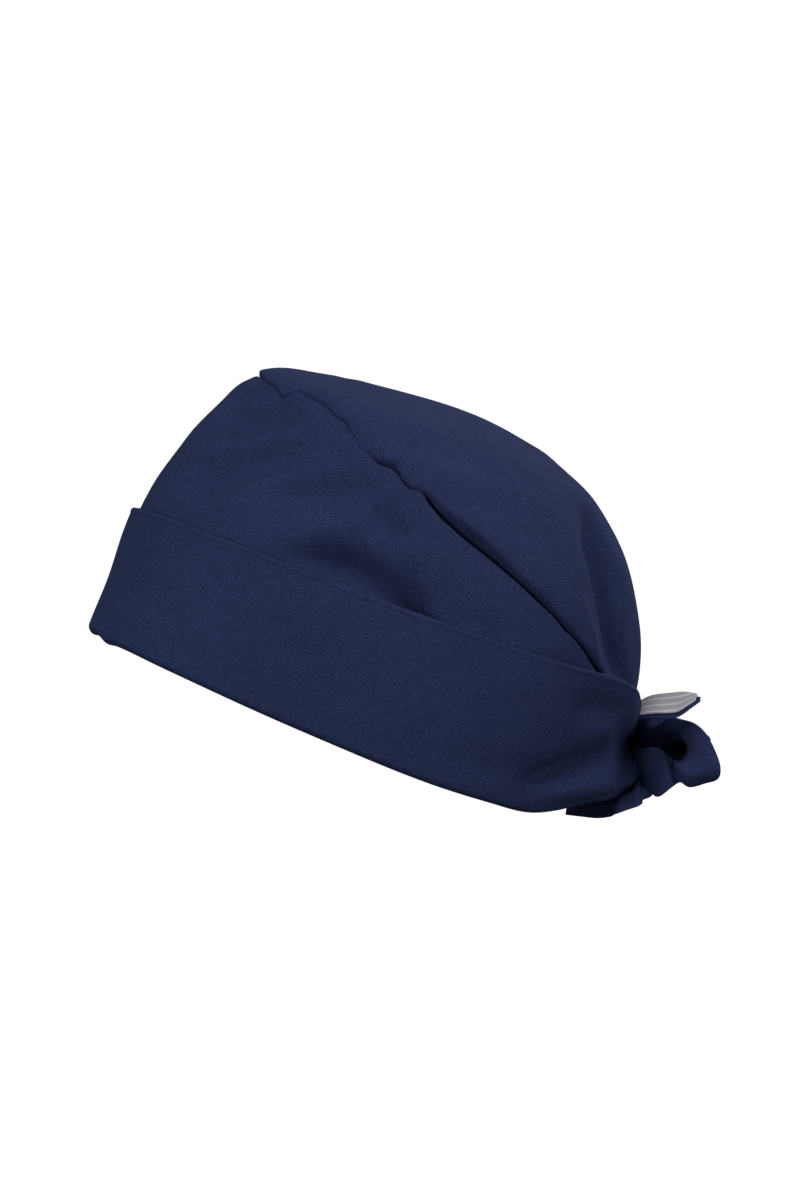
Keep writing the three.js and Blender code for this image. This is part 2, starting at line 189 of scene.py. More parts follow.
# The cuff: its lowest fold, its top edge, how far its outer and inner layers stand off the side
# panel, the crease near the knot under which a skirt hangs out, how far that skirt stands off, how
# deep the crease tucks in, and how far the outer layer flares for each mm below the top edge
CUFF = table(
    "azimuth bottom top stand_off inner crease skirt tuck flare",
    (0, 2.4, 51.3, 2.8, -1.9, 12, 2.8, 0, 0),
    (8, 1.9, 51.5, 2.8, -1.9, 12, 2.8, 0, 0),
    (13, 2.4, 51.8, 2.8, -1.9, 12, 2.8, 0, 0),
    (18, 1.8, 52, 2.7, -1.9, 11, 2.7, 0, 0),
    (22.5, 0.7, 52.2, 2.7, -1.9, 10, 2.7, 0, 0),
    (27, 1.2, 52.5, 2.7, -1.9, 10, 2.7, 0, 0),
    (46, 0.2, 52.8, 2.6, -1.9, 8, 2.6, 0, 0),
    (80, -2.4, 53, 2.6, -1.9, 5, 2.6, 0, 0),
    (108, -3.2, 54.3, 2.6, -1.9, 3, 2.6, 0, 0),
    (126, -1.7, 55.6, 2.6, -1.9, 3, 2.6, 0, 0),
    (139, 0.1, 57, 2.8, -1.9, 4, 2.8, 0, 0),
    (148, 4.4, 58, 3.2, -1.9, 8, 3.8, 0.3, 0.04),
    (154, 8.6, 57.8, 3.7, -1.9, 12.2, 5.6, 0.8, 0.11),
    (160, 12.2, 56.6, 4.1, -1.6, 17.6, 8.6, 1.4, 0.22),
    (166, 15.4, 53.6, 3.8, 0.4, 22.6, 10.8, 1.8, 0.32),
    (172, 19, 49.8, 3.6, 2.2, 28.5, 12.4, 1.6, 0.38),
)

# Heights about the crease over which the skirt turns into the outer layer, and the tuck's spread
CREASE_RISE = (-1, 4)
CREASE_SPREAD = 1.5

# The rolled top edge: how far below the top it is fullest, and its spread
HEM_PLACE = 0.8
HEM_SPREAD = 0.6

# The share of the outer layer over which its folds and waves come in
CUFF_FOLDS_RISE = (0, 0.2)

# Where the cuff's end is drawn in under the knot, along X and downwards, and by what share
DRAWN_ALONG = (102, 109)
DRAWN_DOWN = (-8, 2)
DRAWN_SHARE = 0.38

# The side panel's ends, and how far above the cuff's lowest fold it starts
PANEL_END = 152.0
PANEL_FOOT = 2.2

# Soft folds, each a smooth line seen square from one side of the upright cap: its depth, its spread
# above and below the line as it runs to the back, and the line's points. A point is across and up:
# across is X from the side, and the distance from the middle from the front or the back.
PANEL_FOLDS_SIDE = [
    (7.5, 6, 5, [(-32, 61), (-14, 66), (0, 65), (14, 59.5), (26, 50), (33.5, 41), (43, 27)]),
    (6.5, 14, 5, [(-18, 66), (0, 65), (14, 59.5), (26, 50), (33.5, 41), (43, 27)]),
    (-1.5, 5, 4, [(20, 98), (27, 80), (32, 62), (40, 42), (44, 32)]),
    (2.6, 5.5, 6, [(10, 81), (16, 80), (22, 77.5), (29, 74), (34, 70)]),
    (4.8, 7, 8, [(-34, 86), (-20, 88), (0, 90.5), (22, 93)]),
    (-0.8, 4, 3, [(4, 112), (15.5, 98), (26, 84)]),
    (5.6, 5.5, 7, [(-60, 90), (-48, 96), (-34, 101.5), (-18, 106), (-4, 109)]),
    (7, 4, 5, [(-46, 115), (-34, 118.5), (-22, 121.5), (-8, 125)]),
    (1.2, 2.6, 2.6, [(-55, 108), (-40, 122), (-27, 135)]),
    (-0.5, 1.2, 1.2, [(-59, 108), (-44, 122.5), (-30, 136)]),
    (1.8, 6, 5, [(38, 44), (52, 41), (68, 33)]),
    (1.2, 4.5, 5, [(62, 29), (74, 27), (85, 25.5), (98, 20)]),
]
PANEL_FOLDS_FRONT = [
    (1.8, 2.2, 2.2, [(6, 138), (17, 106)]),
    (-0.8, 3.5, 3.5, [(10, 139), (27, 102)]),
    (0.6, 4, 4, [(1.5, 135), (4.5, 93)]),
]
CROWN_FOLDS_SIDE = [
    (0.7, 1.8, 1.8, [(-14, 130), (10, 134)]),
    (1.6, 7, 5, [(4, 111), (20, 109), (36, 106.5), (52, 102), (70, 95)]),
    (1, 7, 8, [(38, 90), (52, 86), (66, 80), (82, 68)]),
    (0.5, 2.2, 2.2, [(74, 80), (78, 64), (84, 44)]),
    (
        8,
        5.2,
        1.9,
        [(108.6, 10), (107, 28), (105.6, 42), (103.8, 55), (100.6, 69), (96.5, 80.5), (88.3, 92)],
    ),
    (1.2, 2.4, 1.6, [(101, 24), (98, 40), (93, 62)]),
]
CROWN_FOLDS_BACK = [
    (-0.8, 6, 6, [(27, 82), (16, 14)]),
    (1.6, 3.5, 3.5, [(10.5, 72), (7.5, 2)]),
    (1, 3, 3, [(2, 60), (3, 0)]),
]
CUFF_FOLDS_SIDE = [
    (
        5.5,
        4.8,
        2.8,
        [(66, -19), (76, -16.5), (85, -13), (94, -8.5), (101.5, -4), (109, -0.5), (118, 2)],
    ),
    (-2.2, 4.5, 4.5, [(72, -26), (84, -20.5), (96, -15), (106, -10), (116, -5)]),
    (2.2, 6, 5, [(86, 13), (94, 11), (103, 9.5), (112, 9)]),
    (4, 4, 5, [(119, 12), (114, -3), (110, -12), (103, -24)]),
    (0.8, 8, 8, [(36, -6), (52, -9), (66, -12.5), (84, -17)]),
]

# The share of a fold's line that fades at each end, and where the front and back folds come in
FOLD_FADE = 0.3
FRONT_FOLDS_RISE = (20, 45)
BACK_FOLDS_RISE = (30, 60)

# The knot, in the cap's own frame: its place, its profile, how much slimmer it is for its folds,
# its breadth and depth against a round barrel, and how its ends round off
KNOT_PLACE = (109.5, 0.0, 39.5)
KNOT_PROFILE = table("height radius", (-10, 4.6), (-7, 6.8), (0, 6.2), (7, 6.8), (10, 4.6))
KNOT_SLIM = 0.3
KNOT_BREADTH = 0.8
KNOT_DEPTH = 1.08
KNOT_END = 10.02
KNOT_END_POWER = 6

# The knot's folds: depth, count round the axis, and turn for each mm of height
KNOT_FOLDS = [(0.22, 5, 0.5), (0.18, 9, -0.35)]

# The knot's cloth, round and up, in metres
KNOT_CLOTH = (0.056, 0.02)

# Ties, measured from the knot's middle along upright axes. Each row has the tie's two edges a and b
# and, if it isn't straight across, how far the cloth turns in like the mouth of a bell. A curl is
# how far edge a bends back.
TIE_COLUMNS = "ax ay az bx by bz"
CURL_POWER = 4
BOW_LOOP_LEFT = table(
    TIE_COLUMNS + " bell curl",
    (0.3, -8, 4.7, -1.1, -7.5, 1.6, 0, 0),
    (4.7, -14, 6.7, 1.9, -7.5, 2.4, 0, 0),
    (9.5, -20, 9.7, 5.7, -7, 2.6, 0, 0),
    (14.3, -25, 8.9, 9.5, -5, 2.6, 0, 0),
    (19.1, -27.5, 7.3, 12.9, -3, 2.4, 0.2, 0.5),
    (23.2, -31, 3.4, 15.5, -3, 1.3, 0.6, 1),
    (26.4, -35, -3, 17, -4, -1, 0.85, 1.5),
    (28.1, -38, -8.6, 16.9, -5, -3.6, 0.85, 3),
    (27.3, -39, -12.7, 15.7, -6, -5.6, 0.8, 6),
    (22.8, -37, -14.4, 14.2, -8, -6.8, 0.7, 7),
    (17.2, -31, -15.9, 12.5, -8, -6.9, 0.5, 6),
    (13.9, -13, -14.3, 10.6, -6.5, -6, 0.1, 2),
    (10.2, -14, -16.5, 8.9, -11, -4.5, 0, 0),
    (5.9, -10, -19.7, 6.7, -13, -2.6, 0, 0),
    (2.7, -7.5, -18.1, 4.1, -13, -1.9, 0, 0),
    (-1, -6.5, -15, 1.8, -12, -2.1, 0, 0),
    (-3, -7, -9.6, -0.4, -10.5, -2.5, 0, 0),
    (-2.4, -8, -5, -1.7, -9, -2.8, 0, 0),
)
BOW_LOOP_RIGHT = table(
    TIE_COLUMNS + " bell",
    (4, 13, 8.4, 8.8, 8.4, 4.6, 0),
    (7.5, 17, 11.4, 11, 7.4, 4.4, 0),
    (13, 23, 8.8, 13.5, 7, 3.6, 0.1),
    (20, 29, 5.2, 17, 7, 2, 0.3),
    (24.5, 32, 3, 19.2, 7, -0.2, 0.5),
    (26.4, 33, 0.6, 20, 7, -2.6, 0.5),
    (24, 32.5, -0.4, 19, 7, -5.2, 0.4),
    (19, 30, 1.6, 15.5, 7, -7.2, 0.2),
    (14, 26, 3.4, 13, 7, -8.2, 0.1),
    (9.5, 21, 2.6, 9.5, 7.4, -8.8, 0),
    (6.6, 16.5, -1.5, 7.4, 8.4, -9, 0),
    (4.4, 13.5, -5.5, 6.4, 9.4, -8.6, 0),
)
TIE_END_UPPER = table(
    TIE_COLUMNS,
    (-4.5, -11, 8.6, -4.5, 3, 12),
    (0.6, -13, 9.4, 0.8, 3.5, 15.4),
    (4.5, -13, 9.7, 4.5, 4, 17),
    (8.8, -13, 9.8, 10, 4, 17.7),
    (13.3, -12, 10.4, 15.5, 4, 18.2),
    (17.8, -10, 13.4, 19.4, 3, 17.6),
    (21.5, -6, 16, 22, 0, 17),
)
TIE_END_LOWER = table(
    TIE_COLUMNS,
    (3.5, 2, -16.2, 0.9, -4, -10.1),
    (3.3, 3, -19.7, -0.5, -6, -10.8),
    (-0.1, -2, -21.3, -1.8, -9, -12.3),
    (-1.2, -22, -22.7, -3.2, -6, -13.3),
    (-6, -25, -24.3, -7.6, -7, -14.9),
    (-10.5, -24, -26, -11.4, -8, -15.7),
    (-12.8, -4, -27.5, -14.5, -8, -16.3),
    (-17, 4, -28.1, -18.3, -8, -17.4),
    (-22.6, 8, -27.6, -23.5, -6, -18.6),
    (-28.8, 10, -26.9, -28.2, 2, -21.7),
)

# The label: its patch of the upper tie end, along it and across it, and how far it is lifted off.
# Its wall and the pitches of its ribs and stripes are in metres.
LABEL_ALONG = (0.12, 0.93)
LABEL_ACROSS = (0.1, 0.985)
LABEL_LIFT = 1.15
LABEL_WALL = 0.0007
LABEL_RIB = 0.0005
LABEL_STRIPE = 0.0056

# The floor's flat part and the turn at its edge, in metres
FLOOR_FLAT = 6.0
FLOOR_BEND = 7.0

# Waves of the cloth's slight unevenness, and where they come in from the seam and above the cuff
UNEVEN_SEED = 7
UNEVEN_COUNT = 14
UNEVEN_LENGTHS = (18, 60)
UNEVEN_RISE = (1, 12)
UNEVEN_ABOVE_CUFF = (50, 66)

# Square soft lights, in metres and watts, and the place that they face
LIGHTS = {
    "key_light": ((-0.02, -1.2, 2.13), 18.5),
    "fill_light": ((-1.3, -1.97, 0.42), 22),
    "side_light": ((2.24, -0.9, 0.05), 15),
    "back_light": ((1.41, 1.39, 1.43), 17),
}
LIGHT_SIZE = 1.2
LIGHT_AIM = (0.02, 0.0, 0.05)

# The heights over which the surround grows from its share underneath to full
SKY_FADE = (-0.5, 0.7)
SKY_BELOW = 0.03

# The camera's place across and up in metres, and its sensor in millimetres
CAMERA_ACROSS = 0.0249
CAMERA_UP = 0.0506
SENSOR = 36
CLIP_END = 100


def length(name, description, default):
    """A property for a length in metres."""
    return FloatProperty(
        name=name, description=description, default=default, unit="LENGTH", precision=5
    )


def colour(name, description, default):
    """A property for a colour."""
    return FloatVectorProperty(
        name=name, description=description, default=default, subtype="COLOR", size=3
    )


class ScrubCapSizes(PropertyGroup):
    """Sizes of the cloth that a user would change."""

    rim_tilt: FloatProperty(
        name="Rim tilt",
        description="How far the rim drops from the front to the nape",
        default=math.radians(21.5),
        subtype="ANGLE",
    )
    cloth: length("Cloth", "Wall of one layer of cloth", 0.0008)
    cuff_wall: length("Cuff wall", "Wall of the cuff, which is made of doubled cloth", 0.001)
    seam_allowance: length("Seam allowance", "Depth of the edges turned in at the seam", 0.005)
    cuff_return: length("Cuff return", "Height of the cuff's layer inside the cap", 0.010)
    hem: length("Cuff edge", "How far the cuff rolls out just below its top edge", 0.0003)
    uneven: length("Unevenness", "Height of the cloth's slight waves", 0.0002)
    thread: length("Thread pitch", "Distance from one thread of the weave to the next", 0.00075)


class ScrubCapColours(PropertyGroup):
    """Colours of the cap's materials."""

    navy: colour("Navy", "Colour of the cloth's warp", (0.0095, 0.0136, 0.0385))
    navy_light: colour("Light navy", "Colour of the weft and of the fluff", (0.043, 0.06, 0.163))
    lint: colour("Lint", "Colour of the specks of lint on the cloth", (0.11, 0.14, 0.26))
    label_grey: colour("Label grey", "Ground of the woven label", (0.45, 0.45, 0.48))
    label_pale: colour("Label pale", "Stripes of the woven label", (0.82, 0.81, 0.87))
    floor: colour("Floor", "Colour of the floor", (0.93, 0.93, 0.93))


class ScrubCapStage(PropertyGroup):
    """Camera and light."""

    camera_distance: length("Camera distance", "From the camera to the middle of the cap", 4.0)
    view_height: length("View height", "Height of the view at the middle of the cap", 0.4528)
    sky: FloatProperty(
        name="Sky", description="Strength of the white surround overhead", default=0.05, min=0.0
    )
    floor_drop: length("Floor drop", "How far the floor lies below the cap's opening", 0.45)
    floor_segments: IntProperty(
        name="Floor segments", description="Sides of the round floor", default=96, min=12
    )


def smooth(places, values, at, flat_start=True, flat_end=True):
    """A cubic through a table's rows, whose slope at a row is the mean of the slopes beside it."""
    slopes = np.diff(values) / np.diff(places)
    first = 0.0 if flat_start else slopes[0]
    last = 0.0 if flat_end else slopes[-1]
    tangents = np.concatenate([[first], (slopes[1:] + slopes[:-1]) / 2, [last]])
    at = np.clip(at, places[0], places[-1])
    row = np.clip(np.searchsorted(places, at, side="right") - 1, 0, len(places) - 2)
    span = places[row + 1] - places[row]
    t = (at - places[row]) / span
    start = (1 + 2 * t) * (1 - t) ** 2 * values[row] + t * (1 - t) ** 2 * span * tangents[row]
    end = t**2 * (3 - 2 * t) * values[row + 1] - t**2 * (1 - t) * span * tangents[row + 1]
    return start + end


def by_row(rows, column, at, flat_end=False):
    """A column of a table, read at a row number with a fraction."""
    return smooth(np.arange(len(rows[column]), dtype=float), rows[column], at, False, flat_end)


def by_azimuth(rows, azimuth):
    """The columns of a table of azimuths, the same on both sides."""
    return {name: smooth(rows["azimuth"], rows[name], np.abs(azimuth)) for name in rows}


def smoothstep(low, high, x):
    """0 below low and 1 above high, with a smooth rise between."""
    t = np.clip((x - low) / (high - low), 0, 1)
    return t * t * (3 - 2 * t)


def blend(a, b, share):
    """A share of the way from a to b."""
    return a + (b - a) * share


def unit(vectors):
    """Vectors along the last axis, at length 1."""
    return vectors / np.maximum(np.linalg.norm(vectors, axis=-1, keepdims=True), 1e-12)


LEVELS = np.linspace(0, RIDGE, num=2801)
LEVEL_RISES = by_row(SECTIONS, "rise", LEVELS, flat_end=True)


def level_at(rise):
    """The level, a row of SECTIONS with a fraction, at which the cap has a given rise."""
    return np.interp(rise, LEVEL_RISES, LEVELS)


def dome_point(azimuth, level):
    """The plain dome: an egg-shaped oval at each level, closing to a ridge along the top."""
    front = by_row(SECTIONS, "front", level)
    back = by_row(SECTIONS, "back", level)
    middle = blend(front, back, WIDEST)
    cosine = np.cos(np.radians(azimuth))
    sine = np.sin(np.radians(azimuth))
    closing = smoothstep(RIDGE - 1, RIDGE, level)
    turn = blend(cosine * (1 + SQUARENESS * sine**2), (90 - np.abs(azimuth)) / 90, closing)
    reach = np.where(turn > 0, middle - front, back - middle)
    breadth = by_row(SECTIONS, "half_width", level) * sine * (1 + SQUARENESS * cosine**2)
    rise = by_row(SECTIONS, "rise", level, flat_end=True)
    rise = rise - by_row(SECTIONS, "droop", level, flat_end=True) * turn**2
    return np.stack([middle - reach * turn, -breadth, rise], axis=-1)


def dome_normal(azimuth, level):
    """The dome's outward direction, from its slopes along azimuth and level."""
    low = np.minimum(level, RIDGE - RIDGE_CLEAR) - LEVEL_STEP
    along = dome_point(azimuth + AZIMUTH_STEP, low) - dome_point(azimuth - AZIMUTH_STEP, low)
    up = dome_point(azimuth, low + 2 * LEVEL_STEP) - dome_point(azimuth, low)
    return unit(np.cross(along, up))


def upright(points, tilt):
    """Points of the cap's own frame, turned about Y by the rim's tilt."""
    x = points[..., 0] * math.cos(tilt) + points[..., 2] * math.sin(tilt)
    z = -points[..., 0] * math.sin(tilt) + points[..., 2] * math.cos(tilt)
    return np.stack([x, points[..., 1], z], axis=-1)


def fold_depth(folds, across, height):
    """How deep a set of folds is at places seen square from one side.

    Each is a bell across its line, with its own spread on either side, and fades to both ends.
    """
    depth = np.zeros_like(across)
    place_at = np.stack([across, height], axis=-1)
    for deepest, above, below, points in folds:
        points = np.array(points, dtype=float)
        rows = np.arange(len(points), dtype=float)
        at = np.linspace(0, len(points) - 1, 10 * len(points))
        line = np.stack([smooth(rows, column, at, False, False) for column in points.T], axis=-1)
        heading = unit(np.gradient(line, axis=0))
        run = cumulative(line, 0)
        nearest = np.argmin(((place_at[..., None, :] - line) ** 2).sum(axis=-1), axis=-1)
        offset = place_at - line[nearest]
        heading = heading[nearest]
        aside = heading[..., 0] * offset[..., 1] - heading[..., 1] * offset[..., 0]
        share = (run[nearest] + (offset * heading).sum(axis=-1)) / run[-1]
        fade = smoothstep(0, FOLD_FADE, share) * (1 - smoothstep(1 - FOLD_FADE, 1, share))
        depth += deepest * fade * np.exp(-((aside / np.where(aside > 0, above, below)) ** 2))
    return depth


def unevenness(points, height):
    """Slight waves: a sum of sines of seeded directions, lengths and phases."""
    source = np.random.default_rng(UNEVEN_SEED)
    total = np.zeros(points.shape[:-1])
    for _ in range(UNEVEN_COUNT):
        direction = unit(source.normal(size=3))
        wave = source.uniform(*UNEVEN_LENGTHS)
        phase = source.uniform(0, 2 * np.pi)
        total += np.sin(points @ direction * (2 * np.pi / wave) + phase)
    return total * height / math.sqrt(UNEVEN_COUNT / 2)


def cumulative(points, axis):
    """Distance along a grid of points, from its first row on that axis."""
    steps = np.linalg.norm(np.diff(points, axis=axis), axis=-1)
    first = np.zeros_like(np.take(steps, [0], axis=axis))
    return np.concatenate([first, np.cumsum(steps, axis=axis)], axis=axis)


def strip_uv(points):
    """Cloth coordinates of a strip in metres: along its middle row, and up each column."""
    along = cumulative(points, 0)[:, points.shape[1] // 2][:, None]
    up = cumulative(points, 1)
    return np.stack([np.broadcast_to(along, up.shape), up], axis=-1) * MM


# Turns of the rows round an edge
EDGE_TURNS = np.radians([36, 72, 108, 144])
EDGE_ROWS = len(EDGE_TURNS)


def edge_rows(middle, out, away, half, turns):
    """A rounded edge of cloth: the half circle from one face of the wall to the other."""
    return [middle + half * (out * math.cos(t) + away * math.sin(t)) for t in turns]


def cloth_wall(node, points, uv, wall, material, ring=False, ridge=False):
    """A wall of cloth in a node's stead: a closed mesh from the grid of its middle surface.

    The grid moves along its normals by half the wall to each side, and half circles join the two
    faces at the first and last rows. A ring joins its last column to its first, with one column
    more in uv. A ridge joins the two sides of the last row along the middle of the cap.
    """
    half = wall / MM / 2
    if ring:
        along = np.roll(points, -1, axis=0) - np.roll(points, 1, axis=0)
    else:
        along = np.gradient(points, axis=0)
    up = np.gradient(points, axis=1)
    out = unit(np.cross(along, up))
    if ridge:
        out[:, -1] = upright(np.array([0.0, 0.0, 1.0]), bpy.context.scene.scrub_cap_sizes.rim_tilt)
    rows = points.shape[1]
    faces = list((points + half * out).swapaxes(0, 1))
    inner = list((points - half * out).swapaxes(0, 1))
    first = edge_rows(points[:, 0], out[:, 0], -unit(up[:, 0]), half, EDGE_TURNS[::-1])
    last = edge_rows(points[:, -1], out[:, -1], unit(up[:, -1]), half, EDGE_TURNS)
    uv_rows = list(range(rows))
    if ridge:
        chain = inner[::-1] + first + faces
        uv_chain = uv_rows[::-1] + [0] * EDGE_ROWS + uv_rows
    else:
        chain = faces + last + inner[::-1] + first
        uv_chain = uv_rows + [rows - 1] * EDGE_ROWS + uv_rows[::-1] + [0] * EDGE_ROWS
    vertices = np.array(chain)
    count, across = vertices.shape[:2]
    number = np.arange(count * across).reshape(count, across)
    if ridge:
        mirror = np.minimum(np.arange(across), (across - np.arange(across)) % across)
        number[0] = number[0][mirror]
        number[-1] = number[-1][mirror]
    if ring:
        number = np.concatenate([number, number[:, :1]], axis=1)
    if not ridge:
        number = np.concatenate([number, number[:1]], axis=0)
        uv_chain = uv_chain + uv_chain[:1]
    cloth = uv[:, uv_chain].transpose(1, 0, 2)
    quads = cells(number).reshape(-1, 4)
    corners = cells(cloth).reshape(-1, 2)
    if not ring:
        quads, corners = with_ends(quads, corners, number, cloth, rows)
    piece = mesh_object(node + "_cloth", vertices * MM, quads, corners, material)
    place(piece, node)
    return piece


def cells(grid):
    """The four corners of each cell of a grid, of numbers or of cloth coordinates."""
    return np.stack([grid[:-1, :-1], grid[:-1, 1:], grid[1:, 1:], grid[1:, :-1]], axis=2)


def with_ends(quads, corners, number, cloth, rows):
    """Closes the first and last columns of a strip, across from its outer to its inner face."""
    count = len(number) - 1
    reach = EDGE_ROWS // 2
    outer = np.arange(-reach, rows + reach) % count
    inner = (2 * rows + EDGE_ROWS - 1 - np.arange(-reach, rows + reach)) % count
    rungs = np.stack([outer[:-1], outer[1:], inner[1:], inner[:-1]], axis=-1)
    for column, turned in ((0, rungs), (-1, rungs[:, ::-1])):
        quads = np.concatenate([quads, number[turned, column]])
        corners = np.concatenate([corners, cloth[turned, column].reshape(-1, 2)])
    return quads, corners


def mesh_object(name, vertices, quads, corners, material):
    """An object at the origin from grids of vertices, quads and their cloth coordinates."""
    quads = quads.reshape(-1, 4)
    used, numbers = np.unique(quads, return_inverse=True)
    mesh = bpy.data.meshes.new(name)
    mesh.from_pydata(vertices.reshape(-1, 3)[used], [], numbers.reshape(quads.shape))
    layer = mesh.uv_layers.new(name="Cloth")
    layer.data.foreach_set("uv", corners.astype(np.float32).ravel())
    mesh.shade_smooth()
    if mesh.validate(verbose=True):
        raise RuntimeError(f"{name}: the mesh has faces that aren't valid")
    mesh.update()
    mesh.materials.append(material)
    made = bpy.data.objects.new(name, mesh)
    bpy.context.scene.collection.objects.link(made)
    return made


def place(piece, node):
    """Puts a piece in a node's stead on the cap's one body."""
    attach(piece, "root")
    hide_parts(node)


def spread_azimuths(end, columns, endpoint):
    """Azimuths from -end to end, which are denser along the gathered seam in view."""
    step = np.linspace(-end, end, num=4001)
    dense = smoothstep(*DENSE_FROM, step) * (1 - smoothstep(*DENSE_TO, step))
    share = np.cumsum(1 + DENSE_EXTRA * dense)
    share = (share - share[0]) / (share[-1] - share[0])
    return np.interp(np.linspace(0, 1, columns, endpoint=endpoint), share, step)[:, None]


def crown_points(sizes, columns=420, rows=96):
    """The crown's middle surface and its cloth coordinates.

    Rows start at the turned-in edge of the seam, come out round the puff and run to the ridge. The
    lift is the puff, the gathers and the waves, less the folds, and fades at the ridge.
    """
    azimuth = spread_azimuths(180, columns, False)
    seam = by_azimuth(SEAM, azimuth)
    foot = level_at(seam["rise"] + seam["gap"])
    turned = np.array(CROWN_TURN_IN)[None, :]
    share = np.linspace(0, 1, rows)[None, :] ** CROWN_CROWDING
    level = np.concatenate([foot + 0 * turned, blend(foot, RIDGE, share)], axis=1)
    inward = np.concatenate([turned, 0 * share], axis=1) * sizes.seam_allowance / MM
    above = (level - foot) * ROW_SPAN
    puff = seam["puff"] * above / seam["reach"] * np.exp(1 - above / seam["reach"])
    lift = puff + seam["lip"] * np.exp(-above / LIP_RUN) - inward
    lift = lift - (seam["lip"] + seam["dip"]) * np.exp(-above / CROWN_ROLL)
    turn = np.where(azimuth > 0, azimuth, -azimuth - GATHER_SHIFT)
    for middle, width, height, run in zip(*GATHERS.values()):
        bell = np.exp(-(((turn - middle) / width) ** 2)) * np.exp(-((above / run) ** 2))
        lift = lift + height * bell * smoothstep(0, GATHER_RISE, above)
    point = dome_point(azimuth, level)
    stood = upright(point, sizes.rim_tilt)
    behind = smoothstep(*BACK_FOLDS_RISE, point[..., 0])
    lift = lift - behind * fold_depth(CROWN_FOLDS_BACK, np.abs(point[..., 1]), stood[..., 2])
    lift = lift - fold_depth(CROWN_FOLDS_SIDE, stood[..., 0], stood[..., 2])
    lift = lift + unevenness(point, sizes.uneven / MM) * smoothstep(*UNEVEN_RISE, above)
    fade = 1 - smoothstep(RIDGE - 1, RIDGE, level)
    point = point + dome_normal(azimuth, level) * (lift * fade)[..., None]
    down = cumulative(point[:, ::-1], 1)[:, ::-1]
    away = np.stack([-np.cos(np.radians(azimuth)), -np.sin(np.radians(azimuth))], axis=-1)
    uv = (point[:, -1:, :2] + away * down[..., None]) * MM
    return upright(point, sizes.rim_tilt), np.concatenate([uv, uv[:1]], axis=0)


def side_panel_points(sizes, columns=420, rows=64):
    """The side panel's middle surface, from inside the cuff up to the seam's turned-in edge.

    Past the seam the edge goes in and then up behind the crown's, so that the seam is closed.
    """
    azimuth = spread_azimuths(PANEL_END, columns, True)
    seam = by_azimuth(SEAM, azimuth)
    foot = level_at(by_azimuth(CUFF, azimuth)["bottom"] + PANEL_FOOT)
    head = level_at(seam["rise"])
    share = 1 - np.linspace(1, 0, rows)[None, :] ** PANEL_CROWDING
    turned = np.array(PANEL_TURN_IN)[None, :]
    cover = np.array(PANEL_TURN_UP)[None, :] * (seam["gap"] + SEAM_COVER)
    level = np.concatenate([blend(foot, head, share), level_at(seam["rise"] + cover)], axis=1)
    inward = np.concatenate([0 * share, turned], axis=1) * sizes.seam_allowance / MM
    below = np.maximum(head - level, 0) * ROW_SPAN
    point = dome_point(azimuth, level)
    stood = upright(point, sizes.rim_tilt)
    ahead = smoothstep(*FRONT_FOLDS_RISE, -point[..., 0])
    lift = -seam["dip"] * np.exp(-below / PANEL_ROLL) - inward
    lift = lift - fold_depth(PANEL_FOLDS_SIDE, stood[..., 0], stood[..., 2])
    lift = lift - ahead * fold_depth(PANEL_FOLDS_FRONT, np.abs(point[..., 1]), stood[..., 2])
    clear = smoothstep(*UNEVEN_RISE, below) * smoothstep(*UNEVEN_ABOVE_CUFF, point[..., 2])
    lift = lift + unevenness(point, sizes.uneven / MM) * clear
    point = point + dome_normal(azimuth, level) * lift[..., None]
    return upright(point, sizes.rim_tilt), strip_uv(point)


def cuff_points(sizes, columns=360):
    """The cuff's middle surface: up-turned layer, fold at the rim and layer inside, as one line.

    At each azimuth the line comes down inside the cap, round a half circle under the side panel,
    and up outside. Near the knot the outside tucks in at a crease, a skirt stands out below it, and
    the end is drawn in to the middle.
    """
    azimuth = np.linspace(-1, 1, columns)[:, None] * CUFF["azimuth"][-1]
    read = by_azimuth(CUFF, azimuth)
    bend = (read["skirt"] - read["inner"]) / 2
    foot = read["bottom"] + sizes.cuff_wall / MM / 2 + bend
    back = np.linspace(1, 0, num=8)[None, :-1]
    turn = np.radians(np.linspace(0, 180, num=15))[None, :-1]
    wall = 1 - np.linspace(1, 0, num=60)[None, :] ** CUFF_CROWDING
    up = blend(foot, read["top"], wall)
    down = (read["top"] - foot) * (1 - wall)
    aside = up - read["crease"]
    rise = np.concatenate(
        [foot + sizes.cuff_return / MM * back, foot - bend * np.sin(turn), up], axis=1
    )
    flared = read["stand_off"] + read["flare"] * down
    outer = blend(read["skirt"], flared, smoothstep(*CREASE_RISE, aside))
    outer = outer - read["tuck"] * np.exp(-((aside / CREASE_SPREAD) ** 2))
    outer = outer + sizes.hem / MM * np.exp(-(((down - HEM_PLACE) / HEM_SPREAD) ** 2))
    inner = read["inner"] + 0 * back
    lift = np.concatenate([inner, read["inner"] + bend * (1 - np.cos(turn)), outer], axis=1)
    level = level_at(rise)
    point = dome_point(azimuth, level)
    stood = upright(point, sizes.rim_tilt)
    outside = np.concatenate([0 * back, 0 * turn, smoothstep(*CUFF_FOLDS_RISE, wall)], axis=1)
    folds = fold_depth(CUFF_FOLDS_SIDE, stood[..., 0], stood[..., 2])
    waves = unevenness(point, sizes.uneven / MM)
    point = point + dome_normal(azimuth, level) * (lift + outside * (waves - folds))[..., None]
    point = upright(point, sizes.rim_tilt)
    drawn = smoothstep(*DRAWN_ALONG, point[..., 0]) * smoothstep(*DRAWN_DOWN, -point[..., 2])
    point[..., 1] *= 1 - DRAWN_SHARE * drawn
    return point, strip_uv(point)


